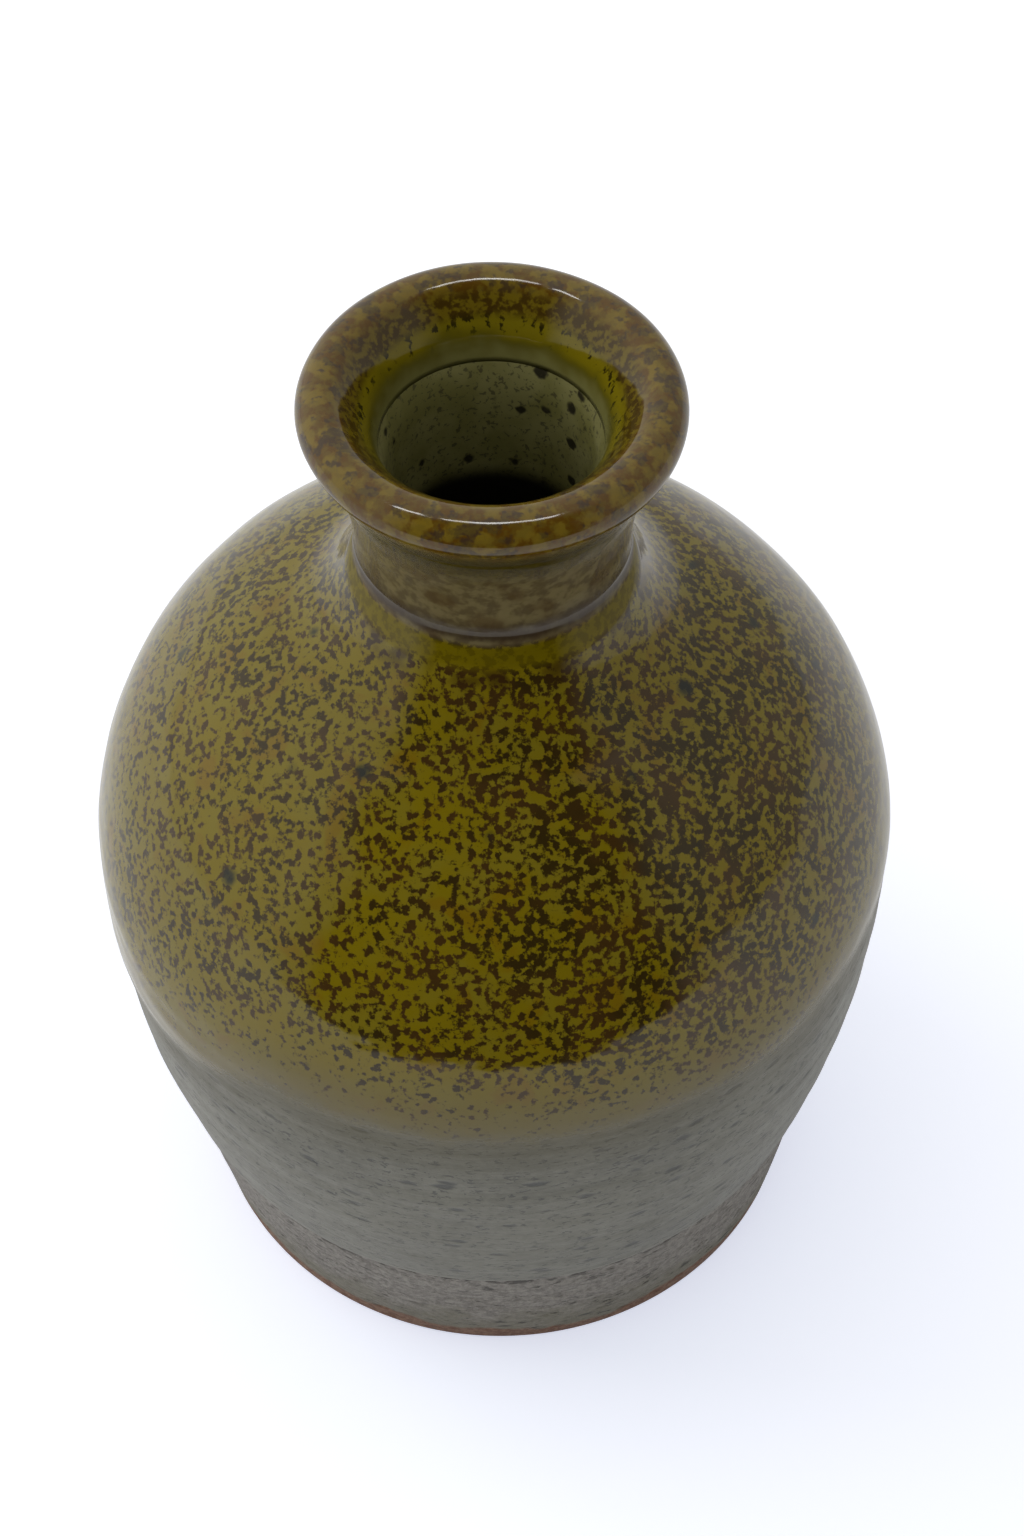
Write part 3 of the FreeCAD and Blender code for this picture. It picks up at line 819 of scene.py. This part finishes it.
clouds = n.noise(n.place, 5.0)
colour = n.mix(LINER_GREEN, LINER_PALE, n.ramp(clouds, 0.40, 0.62))
spots = n.spots(n.place, 3.0, 0.80, 0.50, soft=0.20)
colour = n.mix(colour, LINER_SPOT, spots * 0.95)
small = n.specks(n.place, 0.6, -0.105)
colour = n.mix(colour, LINER_SPECK, small * 0.7)
# Painted shade: deep down the neck the liner turns almost black, like the unlit inside of the pot.
colour = n.mix(colour, LINER_PAINTED_SHADE, n.ramp(n.attribute("along"), 24.5, 28.0))
liner_material = n.wear(colour, 0.42, n.bump(clouds - spots * 0.4, 0.12))

# %% Clay
clay_finish = Finish("stoneware_finish")
c = clay_finish
WASH_MAUVE = (0.215, 0.205, 0.208)
WASH_PALE = (0.320, 0.308, 0.312)
WASH_GREEN = (0.205, 0.200, 0.168)
PIT_DARK = (0.036, 0.033, 0.033)
IRON_GREY = (0.034, 0.036, 0.038)
TOASTED = (0.180, 0.088, 0.060)
TOASTED_PALE = (0.280, 0.170, 0.125)

drawn_out = c.stretched(c.place, (0.35, 0.35, 1.0))
grit = c.noise(c.place, 0.8, detail=4.0, rough=0.65)
scratch = c.noise(drawn_out, 0.7, detail=4.0, rough=0.65)
below_ridge = c.ramp(c.z, RIDGE_MM - 2.6, RIDGE_MM - 0.9)
pits = c.ramp(scratch, 0.575, 0.66)
pits = pits.at_least(c.ramp(scratch, 0.50, 0.58) * below_ridge)
green_share = c.ramp(c.z + (c.noise(c.place, 6.0) - 0.5) * 14.0, 12.0, 4.0)
wash = c.mix(WASH_MAUVE, WASH_PALE, c.ramp(grit, 0.38, 0.62))
wash = c.mix(wash, WASH_GREEN, green_share * 0.8)
wash = c.mix(wash, PIT_DARK, pits * 0.85)
wash = c.mix(wash, IRON_GREY, c.spots(drawn_out, 2.2, 0.42, 0.5, soft=0.2) * 0.85)
toasted = c.mix(TOASTED, TOASTED_PALE, c.ramp(grit, 0.40, 0.64))
line = c.z + (c.noise(c.place, 7.0, detail=3.0) - 0.5) * 5.0
colour = c.mix(toasted, wash, c.ramp(line, 2.8, 4.0))
deep = c.ramp(scratch, 0.40, 0.66)
clay_material = c.wear(colour, 0.62, c.bump(grit * 0.4 - deep, 0.16))

# %% [markdown]
# ## Turning the pieces
#
# The lathe runs once for each outline, as a modifier on an empty mesh. The result is read
# back as a plain mesh, because the finished file holds plain meshes only, and its faces are
# turned to point outwards.

# %% Turn one piece
def turn_piece(name, section_object, steps, material, node, slot):
    """Runs the lathe and hands over a plain closed mesh that stands for a CAD node."""
    blank = bpy.data.objects.new(name, bpy.data.meshes.new(name))
    bpy.context.scene.collection.objects.link(blank)
    modifier = blank.modifiers.new("lathe", "NODES")
    modifier.node_group = lathe
    modifier[socket_of["Outline"]] = section_object
    modifier[socket_of["Steps"]] = steps
    modifier[socket_of["Finish"]] = material
    bpy.context.view_layer.update()
    evaluated = blank.evaluated_get(bpy.context.evaluated_depsgraph_get())
    mesh = bpy.data.meshes.new_from_object(evaluated)
    blank.modifiers.remove(modifier)

    shell = bmesh.new()
    shell.from_mesh(mesh)
    bmesh.ops.dissolve_degenerate(shell, dist=1e-7, edges=shell.edges)
    bmesh.ops.recalc_face_normals(shell, faces=shell.faces)
    open_edges = sum(1 for edge in shell.edges if len(edge.link_faces) != 2)
    volume = shell.calc_volume(signed=True)
    shell.to_mesh(mesh)
    shell.free()

    blank.data = mesh
    mesh.name = name
    triangles = sum(len(face.vertices) - 2 for face in mesh.polygons)
    print("%s: %d triangles, %d open edges, %.0f mm3" % (name, triangles, open_edges, volume / MM ** 3))
    bpy.data.objects.remove(section_object)
    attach(blank, "root")
    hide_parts(node)
    return blank


# %% Turn the four pieces
PIECES = [
    ("turned_clay", clay_outline, 400, clay_material, "stoneware_body", "stoneware"),
    ("liner_coat", liner_outline, 256, liner_material, "liner_glaze", "liner_glaze"),
    ("base_coat", base_outline, 352, base_material, "base_glaze", "base_glaze"),
    ("over_coat", over_outline, 384, over_material, "over_glaze", "over_glaze"),
]
for piece in PIECES:
    turn_piece(*piece)

# %% [markdown]
# ## Floor, light and camera
#
# The vase stands on a white sheet. Light alone would have to be very strong to make the
# sheet white, and would bleach the vase. So the sheet has a plain pale colour and adds a
# glow, which the camera sees in full and reflections see in part. The glow lights nothing.

# %% Floor
def plain_mesh(name, corners, faces, material):
    """A plain mesh of the setting, which isn't part of the object."""
    mesh = bpy.data.meshes.new(name)
    mesh.from_pydata(corners, [], faces)
    mesh.materials.append(material)
    made = bpy.data.objects.new(name, mesh)
    bpy.context.scene.collection.objects.link(made)
    return made


HALF_FLOOR = 6.0
SHEET_COLOUR = (0.80, 0.80, 0.80, 1.0)
SHEET_GLOW = (0.74, 0.80, 1.0, 1.0)
GLOW_STRENGTH = 0.62
GLOW_IN_REFLECTIONS = 0.35

floor_material = bpy.data.materials.new("white_sheet")
floor_material.use_nodes = True
f = Tree(floor_material.node_tree)
shader = floor_material.node_tree.nodes["Principled BSDF"]
shader.inputs["Base Color"].default_value = SHEET_COLOUR
shader.inputs["Roughness"].default_value = 0.9
shader.inputs["Specular IOR Level"].default_value = 0.0
seen = f.add("ShaderNodeLightPath", None, None, "Is Camera Ray")
seen = seen + seen.other("Is Glossy Ray") * GLOW_IN_REFLECTIONS
glow = f.add("ShaderNodeEmission", None, {"Color": SHEET_GLOW, "Strength": seen * GLOW_STRENGTH})
total = f.add("ShaderNodeAddShader", None, {0: Wire(f, shader.outputs[0]), 1: glow})
output = floor_material.node_tree.nodes["Material Output"]
floor_material.node_tree.links.new(total.socket, output.inputs["Surface"])
square = [(x * HALF_FLOOR, y * HALF_FLOOR, 0.0) for x, y in ((-1, -1), (1, -1), (1, 1), (-1, 1))]
plain_mesh("floor", square, [(0, 1, 2, 3)], floor_material)
print("floor", 2 * HALF_FLOOR, "m square")

# %% [markdown]
# A glossy pot also shows what is in front of it: a room that is darker than the sheet. A
# dark card that only reflections can see stands for that room, so it takes no light away
# from the vase. It is part of a dome, open at the back and at the top, and it starts on the
# floor a short way in front, as if the sheet ended there. Its sides and top fade out,
# because a sharp edge in a reflection would look like a crack in the glaze.

# %% The dark side of the room, for reflections only
CARD_RADIUS = 1.3
SHEET_EDGE = 0.35
card_material = bpy.data.materials.new("dark_room")
card_material.use_nodes = True
dark = Tree(card_material.node_tree)
black = dark.add("ShaderNodeEmission", None, {"Color": (0.0, 0.0, 0.0, 1.0), "Strength": 0.0})
clear = dark.add("ShaderNodeBsdfTransparent")
inward = dark.add("ShaderNodeAttribute", {"attribute_name": "inward"}, None, "Fac")
veil = dark.add("ShaderNodeMixShader", None, {0: inward, 1: clear, 2: black})
output = card_material.node_tree.nodes["Material Output"]
card_material.node_tree.links.new(veil.socket, output.inputs["Surface"])

COLUMNS = 32
SOFT_EDGE = 5
HALF_WIDTH_LOW = 60
HALF_WIDTH_HIGH = 80
WIDER_FROM = 38
WIDER_OVER = 20
heights = [0.0, 0.0] + [math.radians(a) for a in range(3, 85, 3)]
corners, inward = [], []
for number, height in enumerate(heights):
    widened = min(1.0, max(0.0, (math.degrees(height) - WIDER_FROM) / WIDER_OVER))
    half_width = math.radians(HALF_WIDTH_LOW + (HALF_WIDTH_HIGH - HALF_WIDTH_LOW) * widened)
    from_top = (len(heights) - 1 - number) / 2
    for i in range(COLUMNS + 1):
        side = half_width * (2 * i / COLUMNS - 1)
        radius = CARD_RADIUS if number else SHEET_EDGE / math.cos(side)
        flat = radius * math.cos(height)
        corners.append((flat * math.sin(side), -flat * math.cos(side), radius * math.sin(height) + MM))
        inward.append(min(1.0, min(i, COLUMNS - i) / SOFT_EDGE, from_top))
faces = []
for r in range(len(heights) - 1):
    for i in range(COLUMNS):
        first = r * (COLUMNS + 1) + i
        above = first + COLUMNS + 1
        faces.append((first, first + 1, above + 1, above))
card = plain_mesh("dark_card", corners, faces, card_material)
layer = card.data.attributes.new("inward", "FLOAT", "POINT")
layer.data.foreach_set("value", inward)
card.visible_camera = False
card.visible_diffuse = False
card.visible_transmission = False
card.visible_shadow = False
print("dark card", len(faces), "faces")

# %% [markdown]
# The rest of the light is soft daylight. It is brighter from the left and from behind, as
# beside a window. The camera sees plain white instead, so the background has no gradient.

# %% World
world = bpy.data.worlds.new("soft_room")
world.use_nodes = True
bpy.context.scene.world = world
w = Tree(world.node_tree)
for node in list(world.node_tree.nodes):
    world.node_tree.nodes.remove(node)
ROOM_LIGHT = (1.0, 0.97, 0.86, 1.0)
LEFT_TO_RIGHT = (0.80, 0.42)
FRONT_TO_BACK = (0.95, 1.22)
WHITE = (1.0, 1.0, 1.0, 1.0)
way = w.add("ShaderNodeTexCoord", None, None, "Generated")
way_x = w.add("ShaderNodeSeparateXYZ", None, {0: way}, "X")
way_y = way_x.other("Y")
level = w.ramp(way_x, -0.9, 0.9, *LEFT_TO_RIGHT) * w.ramp(way_y, -0.4, 0.7, *FRONT_TO_BACK)
camera_ray = w.add("ShaderNodeLightPath", None, None, "Is Camera Ray")
room = w.add("ShaderNodeBackground", None, {"Color": ROOM_LIGHT, "Strength": level})
white = w.add("ShaderNodeBackground", None, {"Color": WHITE, "Strength": 1.0})
surroundings = w.add("ShaderNodeMixShader", None, {0: camera_ray, 1: room, 2: white})
world_out = world.node_tree.nodes.new("ShaderNodeOutputWorld")
world.node_tree.links.new(surroundings.socket, world_out.inputs["Surface"])
print("world has", len(world.node_tree.nodes), "nodes")

# %% [markdown]
# Four lamps finish the light. The window gives the soft shadow on the right. Two narrow
# lamps overhead are there for their reflections, which draw the bright lines on the lip.
# The ceiling lifts the shadows. A lamp that is there for one thing is hidden from the other,
# so the window and the ceiling aren't mirrored, and the narrow lamps light nothing.

# %% Lamps
def area_lamp(name, place, target, size, brightness):
    """A rectangular lamp of a given brightness, turned to face a point."""
    lamp = bpy.data.lights.new(name, "AREA")
    lamp.shape = "RECTANGLE"
    lamp.size, lamp.size_y = size
    lamp.energy = brightness * math.pi * size[0] * size[1]
    made = bpy.data.objects.new(name, lamp)
    bpy.context.scene.collection.objects.link(made)
    made.location = place
    made.rotation_euler = (Vector(target) - Vector(place)).to_track_quat("-Z", "Y").to_euler()
    print(name, "%.1f W" % lamp.energy)
    return made


def overhead(name, x, y, size, brightness):
    """A lamp straight above a place that shows in reflections only."""
    lamp = area_lamp(name, (x, y, 1.5), (x, y, 0.0), size, brightness)
    lamp.visible_diffuse = False


middle = (cad_box[0] + cad_box[1]) / 2
window = area_lamp("window", (-1.0, 0.35, 0.95), middle, (0.9, 0.7), 2.1)
window.visible_glossy = False
overhead("lamp_long", 0.06, -0.09, (0.74, 0.14), 13.0)
overhead("lamp_short", -0.63, -0.07, (0.30, 0.12), 12.0)
ceiling = area_lamp("ceiling", (0.0, 0.1, 1.6), (0.0, 0.0, 0.0), (1.2, 1.0), 0.45)
ceiling.visible_glossy = False

# %% [markdown]
# The camera looks down on the vase from the front, and is so close that the lip looks large
# against the foot. The colours are shown as they are, without a film curve.

# %% Camera
CAMERA_PLACE = (0.0022, -0.2295, 0.3673)
CAMERA_TILT = 38.0
LENS = 70.31
camera_data = bpy.data.cameras.new("camera")
camera_data.lens = LENS
camera_data.sensor_width = 36.0
camera = bpy.data.objects.new("camera", camera_data)
bpy.context.scene.collection.objects.link(camera)
camera.location = CAMERA_PLACE
camera.rotation_euler = (math.radians(CAMERA_TILT), 0.0, 0.0)
bpy.context.scene.camera = camera
bpy.context.scene.view_settings.view_transform = "Standard"
print("camera", CAMERA_PLACE, "tilted", CAMERA_TILT, "degrees from straight down")
